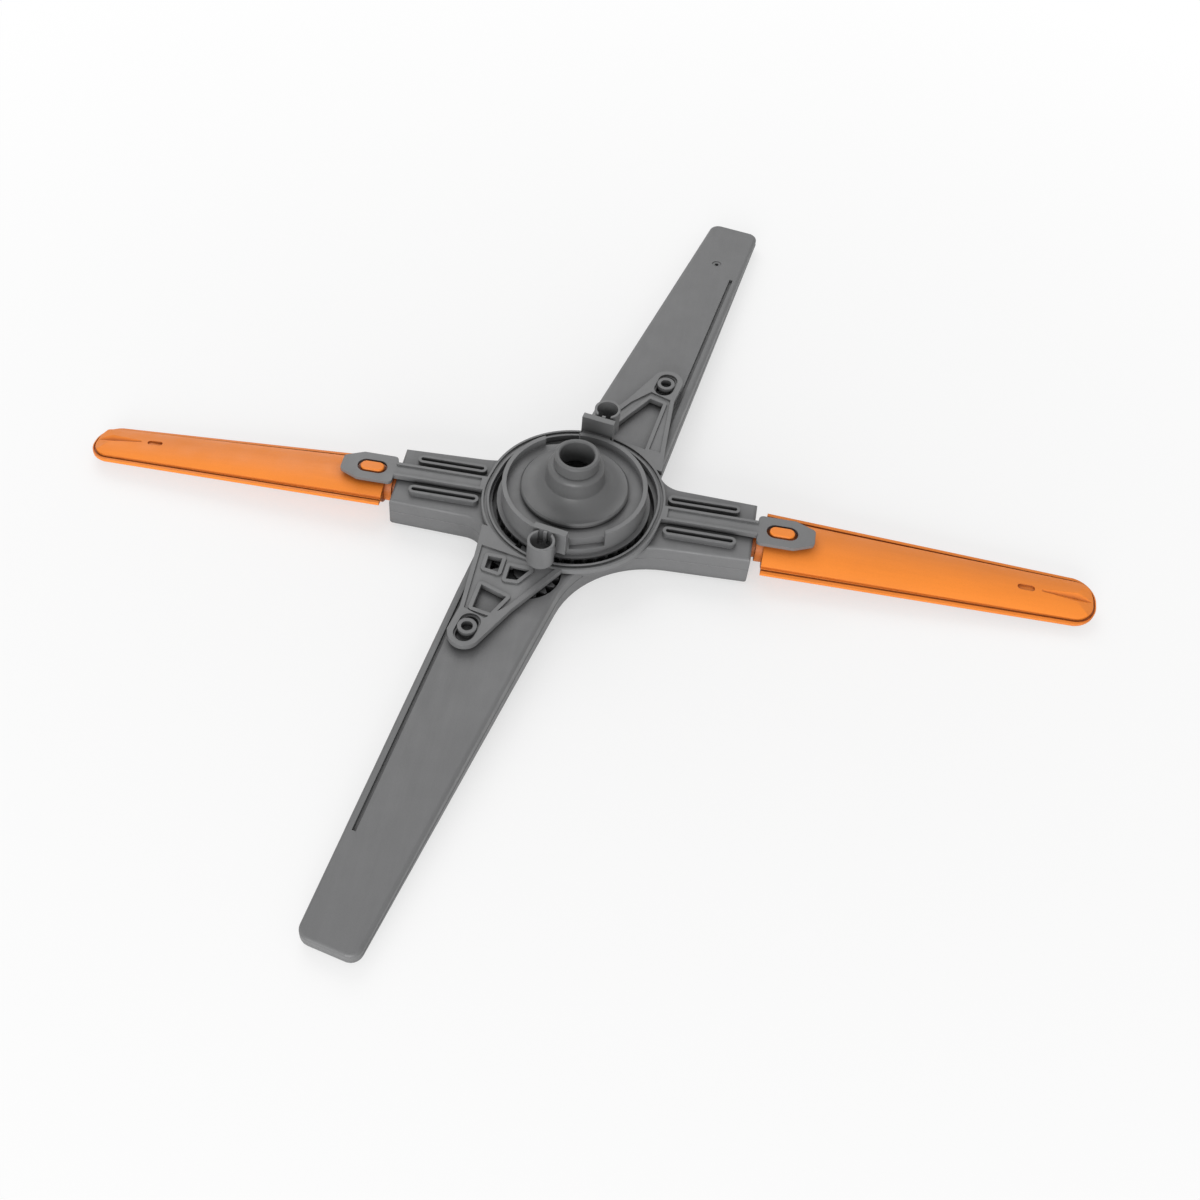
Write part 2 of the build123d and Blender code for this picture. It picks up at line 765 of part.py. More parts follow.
# Fixed gear: toothed ring around the boss with two fastening lugs and two notches in its wall
with BuildPart() as fixed_gear:
    with BuildSketch(Plane.XY.offset(gear_low)):
        Polygon(*gear_points(fixed_teeth, fixed_tip_r, crank_at), align=None)
        Circle(gear_in_r, mode=Mode.SUBTRACT)
    extrude(amount=teeth_top - gear_low)
    for low, high, outer, inner in (
        (teeth_top, teeth_top + gear_brim, fixed_tip_r, gear_in_r),
        (teeth_top, plate_top, ring_r, gear_in_r),
        (plate_top, ring_top, ring_r, ring_r - ring_t),
        (plate_top - plate_t, plate_top, ring_r - ring_t / 2, boss_r + gap),
        (gear_low, plate_top, boss_r + gap + collar_t, boss_r + gap),
    ):
        with BuildSketch(Plane.XY.offset(low)):
            Circle(outer)
            Circle(inner, mode=Mode.SUBTRACT)
        extrude(amount=high - low)
    for turn in (0, 180):
        with BuildSketch(Plane.XY.offset(notch_low)):
            with Locations(spot(notch_angle + turn, ring_r, 0)):
                Rectangle(notch_deep, notch_wide, rotation=notch_angle + turn)
        extrude(amount=ring_top, mode=Mode.SUBTRACT)
    for angle in lug_angles:
        back_middle = (lug_back_left + lug_back_right) / 2
        with BuildSketch(Plane.XY.offset(lug_low)):
            with Locations(spot(angle, lug_in + lug_back_t / 2, back_middle)):
                Rectangle(lug_back_t, lug_back_left - lug_back_right, rotation=angle)
            with Locations(spot(angle, lug_hole_u, 0)):
                Circle(lug_r)
        extrude(amount=lug_top - lug_low)
        with BuildSketch(Plane.XY.offset(lug_low)):
            with Locations(spot(angle, (lug_in + lug_hole_u) / 2, 0)):
                Rectangle(lug_hole_u - lug_in, 2 * lug_foot_half, rotation=angle)
        extrude(amount=lug_foot_t)
        with BuildSketch(Plane.XY.offset(lug_low)):
            with Locations(spot(angle, (lug_in + lug_hole_u) / 2, 0)):
                Rectangle(lug_hole_u - lug_in, lug_rib_t, rotation=angle)
            with Locations(spot(angle, ring_r - ring_t / 2 + (lug_in + 1 - ring_r) / 2, back_middle)):
                Rectangle(lug_in + 1 - ring_r + ring_t, lug_back_left - lug_back_right - 2, rotation=angle)
        extrude(amount=ring_top - lug_step - lug_low)
        with BuildSketch(Plane.XY.offset(lug_low + lug_foot_t)):
            with Locations(spot(angle, lug_hole_u - lug_hole_r, 0)):
                Rectangle(2 * (lug_r - lug_hole_r), lug_mouth, rotation=angle)
                Rectangle(2 * (lug_r - lug_hole_r), lug_rib_t, rotation=angle, mode=Mode.SUBTRACT)
        extrude(amount=lug_top, mode=Mode.SUBTRACT)
        with BuildSketch(Plane.XY.offset(lug_low - 1)):
            with Locations(spot(angle, lug_hole_u, 0)):
                Circle(lug_hole_r)
        extrude(amount=lug_top, mode=Mode.SUBTRACT)
fixed_gear.part.label = "fixed_gear"
export_step(fixed_gear.part, "parts/fixed_gear.step")

# Crank gear: it rolls on the fixed gear and its pin pushes the link
with BuildPart() as crank_gear:
    crank_along = crank_u * cos(radians(crank_lean))
    crank_pin_at = spot(near_angle, crank_along, travel - crank_u * sin(radians(crank_lean)))
    with BuildSketch(Plane.XY.offset(gear_low)):
        with Locations(spot(crank_at, crank_u, 0)):
            Polygon(*gear_points(crank_teeth, crank_tip_r, crank_at + 180 + 180 / crank_teeth), align=None)
    extrude(amount=crank_top - gear_low)
    with BuildSketch(Plane.XY.offset(crank_top - crank_dish)):
        with Locations(spot(crank_at, crank_u, 0)):
            Circle(crank_pitch_r - crank_rim)
            Circle(axle_r + crank_boss, mode=Mode.SUBTRACT)
        with Locations(crank_pin_at):
            Circle(crank_pin_r + crank_pin_boss, mode=Mode.SUBTRACT)
    extrude(amount=crank_dish, mode=Mode.SUBTRACT)
    with BuildSketch(Plane.XY.offset(gear_low)):
        with Locations(spot(crank_at, crank_u, 0)):
            Circle(axle_r + axle_fit)
    extrude(amount=crank_top - crank_roof - gear_low, mode=Mode.SUBTRACT)
    with BuildSketch(Plane.XY.offset(crank_top)):
        with Locations(crank_pin_at):
            Circle(crank_pin_r)
    extrude(amount=crank_pin_t)
crank_gear.part.label = "crank_gear"
export_step(crank_gear.part, "parts/crank_gear.step")

# Link frame: ring around the gear, two bars to the swinging arms, two guide trusses along the main arms
with BuildPart() as link_frame:
    with BuildSketch(Plane.XY.offset(link_low)):
        SlotCenterToCenter(2 * travel, 2 * (open_r + link_ring), rotation=far_angle)
        for angle in bridge_angles:
            with Locations(spot(angle, (ring_r + pin_x) / 2, 0)):
                Rectangle(pin_x - ring_r, 2 * bar_half)
            with BuildSketch(mode=Mode.PRIVATE) as tab:
                Polygon(
                    spot(angle, tab_start, -tab_half),
                    spot(angle, pin_x + pin_long / 2, -tab_half),
                    spot(angle, tab_end, -tab_end_half),
                    spot(angle, tab_end, tab_end_half),
                    spot(angle, pin_x + pin_long / 2, tab_half),
                    spot(angle, tab_start, tab_half),
                    align=None,
                )
                fillet(tab.vertices(), tab_round)
            add(tab.sketch)
        for angle in main_angles:
            Polygon(*[spot(angle, u, w) for u, w in truss], align=None)
            with Locations(spot(angle, guide_u + travel, guide_w)):
                Circle(guide_end_r)
        SlotCenterToCenter(2 * travel, 2 * open_r, rotation=far_angle, mode=Mode.SUBTRACT)
        for angle in bridge_angles:
            with Locations(spot(angle, pin_x, 0)):
                SlotOverall(pin_long + pin_play[0], pin_wide + pin_play[1], mode=Mode.SUBTRACT)
        for angle in main_angles:
            with Locations(spot(angle, guide_u, guide_w)):
                SlotCenterToCenter(2 * (travel + gap), 2 * (guide_r + gap), rotation=angle, mode=Mode.SUBTRACT)
        for angle, windows in ((near_angle, near_windows), (far_angle, far_windows)):
            for window in windows:
                Polygon(*[spot(angle, u, w) for u, w in window], align=None, mode=Mode.SUBTRACT)
    extrude(amount=link_rim)
    with BuildSketch(Plane.XY.offset(link_low + link_web)):
        for angle in bridge_angles:
            with Locations(spot(angle, (bar_start + tab_start) / 2, 0)):
                Rectangle(tab_start - bar_start, 2 * (bar_half - bar_rim))
            with Locations(spot(angle, (tab_start + tab_end) / 2 + tab_round, 0)):
                Rectangle(tab_end - tab_start + 2 * tab_round, 2 * (tab_half + tab_round))
    extrude(amount=link_rim, mode=Mode.SUBTRACT)
    with BuildSketch(Plane.XY.offset(link_top - truss_sink)):
        for angle, windows in ((near_angle, near_windows), (far_angle, far_windows)):
            Polygon(*[spot(angle, u, w) for u, w in truss_floor], align=None)
            for window in windows:
                hole = Polygon(*[spot(angle, u, w) for u, w in window], align=None, mode=Mode.PRIVATE)
                offset(hole, window_rim, mode=Mode.SUBTRACT)
    extrude(amount=link_rim, mode=Mode.SUBTRACT)
    with BuildSketch(Plane.XY.offset(link_low + guide_pad)):
        for angle in main_angles:
            with Locations(spot(angle, guide_u, guide_w)):
                SlotCenterToCenter(2 * (travel + gap), 2 * (guide_head_r + gap), rotation=angle)
    extrude(amount=link_rim, mode=Mode.SUBTRACT)
    with BuildSketch(Plane.XY.offset(link_low + link_web)):
        SlotCenterToCenter(2 * travel, 2 * (open_r + link_ring - link_edge), rotation=far_angle)
        SlotCenterToCenter(2 * travel, 2 * (open_r + link_edge), rotation=far_angle, mode=Mode.SUBTRACT)
    extrude(amount=link_rim, mode=Mode.SUBTRACT)
    with BuildSketch(Plane.XY.offset(link_low)):
        with Locations(spot(crank_at, crank_u, 0)):
            Rectangle(
                2 * (2 * travel + crank_pin_r + gap), 2 * (travel + crank_pin_r + gap), rotation=near_angle
            )
    extrude(amount=crank_top + crank_pin_t + gap - link_low, mode=Mode.SUBTRACT)
link_frame.part.label = "link_frame"
export_step(link_frame.part, "parts/link_frame.step")

# Swinging arms, a crown welded on a trough each
with BuildPart() as right_blade_back:
    add(blade_back(0))
right_blade_back.part.label = "right_blade_back"
export_step(right_blade_back.part, "parts/right_blade_back.step")

with BuildPart() as right_blade_front:
    add(blade_front(0))
right_blade_front.part.label = "right_blade_front"
export_step(right_blade_front.part, "parts/right_blade_front.step")

with BuildPart() as left_blade_back:
    add(blade_back(180))
left_blade_back.part.label = "left_blade_back"
export_step(left_blade_back.part, "parts/left_blade_back.step")

with BuildPart() as left_blade_front:
    add(blade_front(180))
left_blade_front.part.label = "left_blade_front"
export_step(left_blade_front.part, "parts/left_blade_front.step")
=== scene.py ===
import math

import bpy
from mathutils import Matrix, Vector
from mathutils.geometry import intersect_line_line


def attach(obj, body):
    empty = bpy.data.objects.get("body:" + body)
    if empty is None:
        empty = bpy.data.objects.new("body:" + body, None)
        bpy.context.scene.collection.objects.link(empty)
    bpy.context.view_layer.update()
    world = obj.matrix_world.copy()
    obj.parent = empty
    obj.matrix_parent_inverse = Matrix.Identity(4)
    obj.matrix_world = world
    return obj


bl_info = {
    "name": "Spray arm looks",
    "version": (1, 0, 0),
    "blender": (4, 5, 0),
    "location": "3D View > Sidebar > Spray arm",
    "description": "Finishes, small fittings and studio for a dishwasher spray arm that lies upside down",
    "category": "Object",
}

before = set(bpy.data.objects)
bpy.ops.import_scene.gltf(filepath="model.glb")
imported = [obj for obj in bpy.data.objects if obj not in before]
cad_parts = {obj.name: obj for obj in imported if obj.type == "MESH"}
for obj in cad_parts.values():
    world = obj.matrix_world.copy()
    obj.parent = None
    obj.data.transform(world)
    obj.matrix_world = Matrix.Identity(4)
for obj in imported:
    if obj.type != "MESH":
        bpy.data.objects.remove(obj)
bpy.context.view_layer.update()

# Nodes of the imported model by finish
BODY_NODES = ("arm_lower_shell", "arm_nozzle_shell")
DRIVE_NODES = ("fixed_gear", "link_frame")
BLADE_NODES = ("right_blade_back", "right_blade_front", "left_blade_back", "left_blade_front")

# Main arms: directions from the X axis, then in metres the stretch, and edges and weld height at its ends
MAIN_ANGLES = (math.radians(78.6), math.radians(258.6))
MAIN_START = 0.074
MAIN_END = 0.253
LEAN_EDGE = (0.0135, 0.0083)
WIDE_EDGE = (-0.0294, -0.0193)
SEAM_HEIGHT = (0.011, 0.0055)

# Bridges between the main arms, in metres: length and half width at both ends
BRIDGE_END = 0.088
BRIDGE_HALF = (0.0218, 0.0183)

# Swinging arms, in metres: stretch and height of the keel at both ends
BLADE_START = 0.0936
BLADE_END = 0.25
KEEL_HEIGHT = (0.0032, 0.0024)

# Rounds of the seam at the inner corners of the hub and at the tips, in metres
LEAN_ROUND = 0.05
WIDE_ROUND = 0.012
TIP_ROUND = 0.0056

# Nozzles, as shares of the stretch of an arm and metres from the middle line
MAIN_NOZZLES = (
    (0.03, -0.008), (0.17, -0.005), (0.32, -0.009), (0.48, -0.004),
    (0.64, -0.007), (0.78, -0.003), (0.91, -0.006),
)
BLADE_NOZZLES = (0.12, 0.28, 0.46, 0.64, 0.82, 0.93)

# Steps round a nozzle lip, round its bead, round the weld bead and along a corner of the weld
LIP_STEPS = 24
LIP_BEAD_STEPS = 8
WELD_BEAD_STEPS = 10
CORNER_STEPS = 16

# Patterns of the plastics, in waves per metre, the streaks along X, Y and Z
CLOUD_SCALE = 16.0
FLOW_SCALE = 90.0
STREAKS_ALONG_X = (14.0, 260.0, 260.0)
STREAKS_ALONG_Y = (260.0, 14.0, 260.0)
CAP_STREAKS = (200.0, 60.0, 200.0)
DRIVE_STREAKS = (60.0, 60.0, 300.0)

# Tones of the marks as factors of the colour, and how much of a mark shows at most
CLOUD_TONES = (0.93, 1.05)
STREAK_TONE = 1.16
STREAK_SHARE = 0.4
SPECK_TONE = 0.8
SPECK_SHARE = 0.18
RUBBED_TONE = 1.5
# Most of the colour that turns to painted shade where surfaces lie close
PAINTED_SHADE_SHARE = 0.85

# Factors of red, green and blue of the shade painted where surfaces of the orange plastic lie close
ORANGE_PAINTED_SHADE_TONES = (0.26, 0.2, 0.6)

# Spread of the roughness about its middle
GLOSS_SPREAD = (-0.06, 0.08)

# Width of the camera's film in millimetres, and the nearest that it sees in metres
FILM_WIDTH = 36.0
NEAREST = 0.01

WHITE = (1.0, 1.0, 1.0)


class SprayArmFinish(bpy.types.PropertyGroup):
    """Colours and surface of the moulded plastics."""

    body_colour: bpy.props.FloatVectorProperty(
        name="Body colour", description="Grey of the two body shells",
        subtype="COLOR", size=3, min=0.0, max=1.0, default=(0.15, 0.151, 0.153),
    )
    drive_colour: bpy.props.FloatVectorProperty(
        name="Drive colour", description="Grey of the fixed gear and the link frame",
        subtype="COLOR", size=3, min=0.0, max=1.0, default=(0.165, 0.166, 0.168),
    )
    hub_colour: bpy.props.FloatVectorProperty(
        name="Hub colour", description="Grey of the inlet hub",
        subtype="COLOR", size=3, min=0.0, max=1.0, default=(0.106, 0.107, 0.108),
    )
    crank_colour: bpy.props.FloatVectorProperty(
        name="Crank gear colour", description="Dark grey of the crank gear",
        subtype="COLOR", size=3, min=0.0, max=1.0, default=(0.06, 0.061, 0.063),
    )
    blade_colour: bpy.props.FloatVectorProperty(
        name="Swinging arm colour", description="Orange of the swinging arms",
        subtype="COLOR", size=3, min=0.0, max=1.0, default=(0.89, 0.244, 0.02),
    )
    cap_colour: bpy.props.FloatVectorProperty(
        name="Cap colour", description="Dark grey of the centre cap",
        subtype="COLOR", size=3, min=0.0, max=1.0, default=(0.09, 0.092, 0.095),
    )
    disc_colour: bpy.props.FloatVectorProperty(
        name="Flow disc colour", description="Off-white of the flow disc inside the hub",
        subtype="COLOR", size=3, min=0.0, max=1.0, default=(0.7, 0.7, 0.68),
    )
    grain: bpy.props.FloatProperty(
        name="Grain size", description="Width of one spot of the moulded grain",
        unit="LENGTH", min=0.0001, max=0.01, default=0.0006, precision=5,
    )
    edge: bpy.props.FloatProperty(
        name="Edge radius", description="Radius to which moulded edges are softened in the shading",
        unit="LENGTH", min=0.0, max=0.002, default=0.0004, precision=5,
    )
    # Within this reach of a neighbouring surface, shade is painted into the colour
    painted_shade_reach: bpy.props.FloatProperty(
        name="Painted shade reach", description="How near a neighbouring surface is where the plastic looks deeper",
        unit="LENGTH", min=0.0005, max=0.02, default=0.007, precision=4,
    )


class SprayArmFittings(bpy.types.PropertyGroup):
    """Sizes of the nozzle lips and of the weld bead."""

    lip_radius: bpy.props.FloatProperty(
        name="Lip radius", description="Radius of the middle of a nozzle lip",
        unit="LENGTH", min=0.0005, max=0.005, default=0.00145, precision=5,
    )
    lip_thickness: bpy.props.FloatProperty(
        name="Lip thickness", description="Radius of the round bead that makes the lip",
        unit="LENGTH", min=0.0001, max=0.001, default=0.00035, precision=5,
    )
    bead_radius: bpy.props.FloatProperty(
        name="Weld bead radius", description="Radius of the bead along the weld of the two body shells",
        unit="LENGTH", min=0.0001, max=0.001, default=0.00045, precision=5,
    )
    bead_sink: bpy.props.FloatProperty(
        name="Weld bead sink", description="How deep the middle of the bead lies in the wall",
        unit="LENGTH", min=0.0, max=0.001, default=0.0002, precision=5,
    )


class SprayArmStage(bpy.types.PropertyGroup):
    """Floor, lamps and camera."""

    floor_colour: bpy.props.FloatVectorProperty(
        name="Floor colour", description="Colour of the light that the pale floor throws back on the part",
        subtype="COLOR", size=3, min=0.0, max=1.0, default=(0.78, 0.78, 0.78),
    )
    floor_size: bpy.props.FloatProperty(
        name="Floor size", description="Side of the square floor",
        unit="LENGTH", min=1.0, max=40.0, default=12.0,
    )
    floor_lift: bpy.props.FloatProperty(
        name="Floor lift", description="Share of even white in the floor at the part, for faint shadows",
        subtype="FACTOR", min=0.0, max=1.0, default=0.55,
    )
    floor_near: bpy.props.FloatProperty(
        name="Floor fade start", description="Distance from the middle at which the floor begins to fade",
        unit="LENGTH", min=0.0, max=0.3, default=0.1,
    )
    floor_fade: bpy.props.FloatProperty(
        name="Floor fade", description="Distance from the middle at which the floor is seen as plain white",
        unit="LENGTH", min=0.3, max=5.0, default=0.62,
    )
    floor_gap: bpy.props.FloatProperty(
        name="Floor gap", description="How far the floor lies under the part, so that no faces fall together",
        unit="LENGTH", min=0.0, max=0.001, default=0.0001, precision=5,
    )
    sky: bpy.props.FloatProperty(
        name="Sky strength", description="Even light from all round", min=0.0, max=2.0, default=0.5,
    )
    azimuth: bpy.props.FloatProperty(
        name="Camera azimuth", description="Turn of the camera to the right of the front",
        subtype="ANGLE", default=math.radians(12.68),
    )
    elevation: bpy.props.FloatProperty(
        name="Camera height angle", description="Angle of the view above the floor",
        subtype="ANGLE", default=math.radians(50.13),
    )
    distance: bpy.props.FloatProperty(
        name="Camera distance", description="From the camera to the point on its axis over the floor",
        unit="LENGTH", min=0.1, max=5.0, default=0.6982,
    )
    aim: bpy.props.FloatVectorProperty(
        name="Camera aim", description="Point on the camera's axis", subtype="TRANSLATION", size=3,
        default=(-0.0458, -0.04988, 0.010),
    )
    lens: bpy.props.FloatProperty(
        name="Lens", description="Focal length in millimetres", min=10.0, max=200.0, default=44.067,
    )
    shift: bpy.props.FloatVectorProperty(
        name="Picture shift", description="Shift of the picture off the camera's axis, in picture widths",
        size=2, default=(0.1175, -0.0211), precision=4,
    )


def finish_settings():
    """Settings of the finishes."""
    return bpy.context.scene.spray_arm_finish


def fitting_settings():
    """Settings of the small fittings."""
    return bpy.context.scene.spray_arm_fittings


def new_material(name):
    """Empty node material with its output and principled shader."""
    material = bpy.data.materials.new(name)
    material.use_nodes = True
    nodes = material.node_tree.nodes
    nodes.clear()
    output = nodes.new("ShaderNodeOutputMaterial")
    shader = nodes.new("ShaderNodeBsdfPrincipled")
    material.node_tree.links.new(shader.outputs["BSDF"], output.inputs["Surface"])
    return material, shader


def noise(tree, place, scale, detail, roughness=0.5):
    """Noise texture on the given coordinates."""
    node = tree.nodes.new("ShaderNodeTexNoise")
    node.inputs["Scale"].default_value = scale
    node.inputs["Detail"].default_value = detail
    node.inputs["Roughness"].default_value = roughness
    tree.links.new(place, node.inputs["Vector"])
    return node.outputs["Fac"]


def stretched(tree, place, scale):
    """Coordinates scaled differently along X, Y and Z, for marks that run along one of them."""
    node = tree.nodes.new("ShaderNodeMapping")
    node.inputs["Scale"].default_value = scale
    tree.links.new(place, node.inputs["Vector"])
    return node.outputs["Vector"]


def span_map(tree, value, low, high, from_low=0.3, from_high=0.7):
    """Map a value to the span from low to high."""
    node = tree.nodes.new("ShaderNodeMapRange")
    node.inputs["From Min"].default_value = from_low
    node.inputs["From Max"].default_value = from_high
    node.inputs["To Min"].default_value = low
    node.inputs["To Max"].default_value = high
    tree.links.new(value, node.inputs["Value"])
    return node.outputs["Result"]


def combine(tree, operation, first, second):
    """Join two values, or a value and a number, with a sum, a product or the like."""
    node = tree.nodes.new("ShaderNodeMath")
    node.operation = operation
    tree.links.new(first, node.inputs[0])
    if isinstance(second, bpy.types.NodeSocket):
        tree.links.new(second, node.inputs[1])
    else:
        node.inputs[1].default_value = second
    return node.outputs["Value"]


def blend_colour(tree, share, first, second):
    """Blend of two colours, or of a colour and an output, by a share."""
    node = tree.nodes.new("ShaderNodeMix")
    node.data_type = "RGBA"
    tree.links.new(share, node.inputs[0])
    # The colours go in at sockets 6 and 7, after the numbers and vectors, and come out at socket 2
    for socket, colour in ((node.inputs[6], first), (node.inputs[7], second)):
        if isinstance(colour, bpy.types.NodeSocket):
            tree.links.new(colour, socket)
        else:
            socket.default_value = (*colour, 1.0)
    return node.outputs[2]


def shade(colour, factor):
    """Colour made darker or lighter by a factor."""
    return tuple(min(1.0, channel * factor) for channel in colour)


def worn_edges(tree, radius):
    """Softened normal of the moulded edges and a mask that is 1 on them."""
    bevel = tree.nodes.new("ShaderNodeBevel")
    bevel.samples = 4
    bevel.inputs["Radius"].default_value = radius
    geometry = tree.nodes.new("ShaderNodeNewGeometry")
    likeness = tree.nodes.new("ShaderNodeVectorMath")
    likeness.operation = "DOT_PRODUCT"
    tree.links.new(bevel.outputs["Normal"], likeness.inputs[0])
    tree.links.new(geometry.outputs["True Normal"], likeness.inputs[1])
    mask = span_map(tree, likeness.outputs["Value"], low=1.0, high=0.0, from_low=0.8, from_high=0.99)
    return bevel.outputs["Normal"], mask


def painted_shade_mask(tree, reach, plain):
    """Mask of painted shade that rises where a neighbouring surface is near, and is 0 from the openness plain
    upward.
    """
    nearness = tree.nodes.new("ShaderNodeAmbientOcclusion")
    nearness.samples = 6
    nearness.inputs["Distance"].default_value = reach
    return span_map(tree, nearness.outputs["AO"], low=PAINTED_SHADE_SHARE, high=0.0, from_low=0.25, from_high=plain)


def relief(tree, height, strength, depth, normal):
    """Normal with a fine relief of the given depth."""
    bump = tree.nodes.new("ShaderNodeBump")
    bump.inputs["Strength"].default_value = strength
    bump.inputs["Distance"].default_value = depth
    tree.links.new(height, bump.inputs["Height"])
    tree.links.new(normal, bump.inputs["Normal"])
    return bump.outputs["Normal"]


def moulded_plastic(name, colour, deep, roughness, grain_depth, wear, along, plain=0.7):
    """Moulded plastic with grain, faint clouds, streaks, uneven gloss, painted shade where surfaces lie close
    and rubbed edges.
    """
    settings = finish_settings()
    material, shader = new_material(name)
    tree = material.node_tree
    place = tree.nodes.new("ShaderNodeTexCoord").outputs["Object"]
    clouds = noise(tree, place, CLOUD_SCALE, detail=3.0)
    flow = noise(tree, place, FLOW_SCALE, detail=4.0, roughness=0.6)
    streaks = noise(tree, stretched(tree, place, along), scale=1.0, detail=3.0, roughness=0.6)
    grain = noise(tree, place, 1.0 / settings.grain, detail=2.0)
    dull, bright = (shade(colour, tone) for tone in CLOUD_TONES)
    clouded = blend_colour(tree, span_map(tree, clouds, 0.0, 1.0), dull, bright)
    streak_share = span_map(tree, streaks, 0.0, STREAK_SHARE)
    drawn = blend_colour(tree, streak_share, clouded, shade(colour, STREAK_TONE))
    speck_share = span_map(tree, grain, 0.0, SPECK_SHARE, from_low=0.45, from_high=0.75)
    specks = blend_colour(tree, speck_share, drawn, shade(colour, SPECK_TONE))
    # Painted shade: the colour turns towards deep where neighbouring surfaces lie close, as in gaps between
    # parts, under overhangs and next to the floor
    with_painted_shade = blend_colour(tree, painted_shade_mask(tree, settings.painted_shade_reach, plain), specks, deep)
    soft_normal, edges = worn_edges(tree, settings.edge)
    rub = combine(tree, "MULTIPLY", edges, span_map(tree, flow, 0.0, wear))
    worn = blend_colour(tree, rub, with_painted_shade, shade(colour, RUBBED_TONE))
    tree.links.new(worn, shader.inputs["Base Color"])
    glossiest, dullest = (roughness + change for change in GLOSS_SPREAD)
    tree.links.new(span_map(tree, flow, glossiest, dullest), shader.inputs["Roughness"])
    waves = relief(tree, flow, strength=0.25, depth=0.0005, normal=soft_normal)
    grained = relief(tree, grain, strength=0.5, depth=grain_depth, normal=waves)
    tree.links.new(grained, shader.inputs["Normal"])
    return material


def give_material(names, material):
    """Put one material on all slots of the named nodes."""
    for name in names:
        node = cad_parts[name]
        if not node.material_slots:
            node.data.materials.append(material)
        for slot in node.material_slots:
            slot.material = material


def add_object(name, data):
    """New object in the scene, at the origin."""
    piece = bpy.data.objects.new(name, data)
    bpy.context.scene.collection.objects.link(piece)
    return piece


def along_arm(angle, distance, aside, height):
    """Point at a distance along an arm and aside of its middle line."""
    return Vector((
        distance * math.cos(angle) - aside * math.sin(angle),
        distance * math.sin(angle) + aside * math.cos(angle),
        height,
    ))


def new_tree(name, inputs):
    """Geometry tree with a geometry socket and the named lengths as inputs."""
    tree = bpy.data.node_groups.new(name, "GeometryNodeTree")
    tree.interface.new_socket("Geometry", in_out="INPUT", socket_type="NodeSocketGeometry")
    for label in inputs:
        tree.interface.new_socket(label, in_out="INPUT", socket_type="NodeSocketFloat")
    tree.interface.new_socket("Geometry", in_out="OUTPUT", socket_type="NodeSocketGeometry")
    return tree, tree.nodes.new("NodeGroupInput"), tree.nodes.new("NodeGroupOutput")


def end_tree(tree, geometry, material, result):
    """Close a geometry tree with real meshes in one material."""
    realise = tree.nodes.new("GeometryNodeRealizeInstances")
    finish = tree.nodes.new("GeometryNodeSetMaterial")
    finish.inputs["Material"].default_value = material
    tree.links.new(geometry, realise.inputs["Geometry"])
    tree.links.new(realise.outputs["Geometry"], finish.inputs["Geometry"])
    tree.links.new(finish.outputs["Geometry"], result.inputs["Geometry"])


def lip_tree(material):
    """Geometry tree that sets a round lip on every point of a mesh."""
    tree, entry, result = new_tree("Nozzle lips", ("Lip radius", "Lip thickness"))
    ring = tree.nodes.new("GeometryNodeCurvePrimitiveCircle")
    ring.inputs["Resolution"].default_value = LIP_STEPS
    round_bead = tree.nodes.new("GeometryNodeCurvePrimitiveCircle")
    round_bead.inputs["Resolution"].default_value = LIP_BEAD_STEPS
    sweep = tree.nodes.new("GeometryNodeCurveToMesh")
    scatter = tree.nodes.new("GeometryNodeInstanceOnPoints")
    tree.links.new(entry.outputs["Lip radius"], ring.inputs["Radius"])
    tree.links.new(entry.outputs["Lip thickness"], round_bead.inputs["Radius"])
    tree.links.new(ring.outputs["Curve"], sweep.inputs["Curve"])
    tree.links.new(round_bead.outputs["Curve"], sweep.inputs["Profile Curve"])
    tree.links.new(entry.outputs["Geometry"], scatter.inputs["Points"])
    tree.links.new(sweep.outputs["Mesh"], scatter.inputs["Instance"])
    end_tree(tree, scatter.outputs["Instances"], material, result)
    return tree


def bead_tree(material):
    """Geometry tree that rounds the corners of a path by its attribute and lays a bead along it."""
    tree, entry, result = new_tree("Weld bead", ("Bead radius",))
    path = tree.nodes.new("GeometryNodeMeshToCurve")
    corner = tree.nodes.new("GeometryNodeInputNamedAttribute")
    corner.data_type = "FLOAT"
    corner.inputs["Name"].default_value = "corner_round"
    rounded = tree.nodes.new("GeometryNodeFilletCurve")
    rounded.mode = "POLY"
    rounded.inputs["Count"].default_value = CORNER_STEPS
    rounded.inputs["Limit Radius"].default_value = True
    round_bead = tree.nodes.new("GeometryNodeCurvePrimitiveCircle")
    round_bead.inputs["Resolution"].default_value = WELD_BEAD_STEPS
    sweep = tree.nodes.new("GeometryNodeCurveToMesh")
    sweep.inputs["Fill Caps"].default_value = True
    tree.links.new(entry.outputs["Geometry"], path.inputs["Mesh"])
    tree.links.new(path.outputs["Curve"], rounded.inputs["Curve"])
    tree.links.new(corner.outputs["Attribute"], rounded.inputs["Radius"])
    tree.links.new(entry.outputs["Bead radius"], round_bead.inputs["Radius"])
    tree.links.new(rounded.outputs["Curve"], sweep.inputs["Curve"])
    tree.links.new(round_bead.outputs["Curve"], sweep.inputs["Profile Curve"])
    end_tree(tree, sweep.outputs["Mesh"], material, result)
    return tree


def bake_tree(piece, tree, values):
    """Run a geometry tree on a piece with the named values and keep the result as a plain mesh."""
    modifier = piece.modifiers.new("Tree", "NODES")
    modifier.node_group = tree
    for item in tree.interface.items_tree:
        if item.in_out == "INPUT" and item.name in values:
            modifier[item.identifier] = values[item.name]
    graph = bpy.context.evaluated_depsgraph_get()
    mesh = bpy.data.meshes.new_from_object(piece.evaluated_get(graph))
    piece.modifiers.clear()
    old = piece.data
    piece.data = mesh
    bpy.data.meshes.remove(old)
    if not mesh.polygons:
        raise RuntimeError(f"{piece.name} has no faces")
    mesh.shade_smooth()


